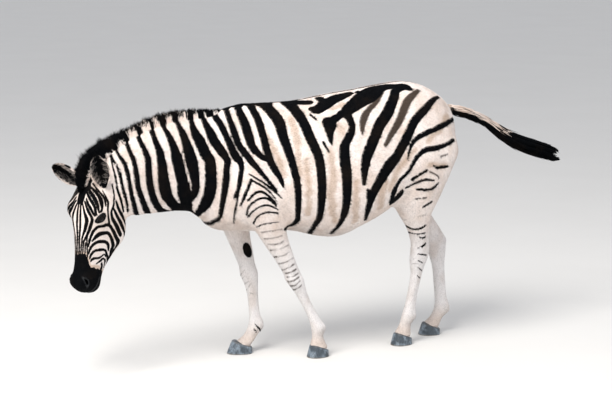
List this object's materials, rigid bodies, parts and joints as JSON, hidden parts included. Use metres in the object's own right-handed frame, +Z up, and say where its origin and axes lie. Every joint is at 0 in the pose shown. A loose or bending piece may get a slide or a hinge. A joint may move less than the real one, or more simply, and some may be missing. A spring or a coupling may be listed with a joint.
{
  "type": "plains zebra",
  "caption": "Plains zebra as a life-size still model, standing mid-step with its head lowered and tail held out, on its own hooves.",
  "frame": {"origin": "middle of the animal's outline in plan, on the floor that the hooves stand on", "axes": "+Y runs from the head to the tail, +X to the animal's own left, +Z up"},
  "size_m": [0.572, 2.8767, 1.39],
  "materials": {
    "coat": "short striped hair",
    "dark_hair": "coarse long hair",
    "horn": "satin horn",
    "eye": "wet gloss"
  },
  "bodies": {
    "root": {"trunk": "coat", "neck": "coat", "head": "coat", "tail": "coat", "ear_left": "coat", "ear_right": "coat", "foreleg_left_upper": "coat", "foreleg_right_upper": "coat", "hindleg_left_upper": "coat", "hindleg_right_upper": "coat", "foreleg_left_lower": "coat", "foreleg_right_lower": "coat", "hindleg_left_lower": "coat", "hindleg_right_lower": "coat", "mane": "dark_hair", "tail_tuft": "dark_hair", "hoof_foreleg_left": "horn", "hoof_foreleg_right": "horn", "hoof_hindleg_left": "horn", "hoof_hindleg_right": "horn", "eye_left": "eye", "eye_right": "eye"}
  },
  "joints": []
}
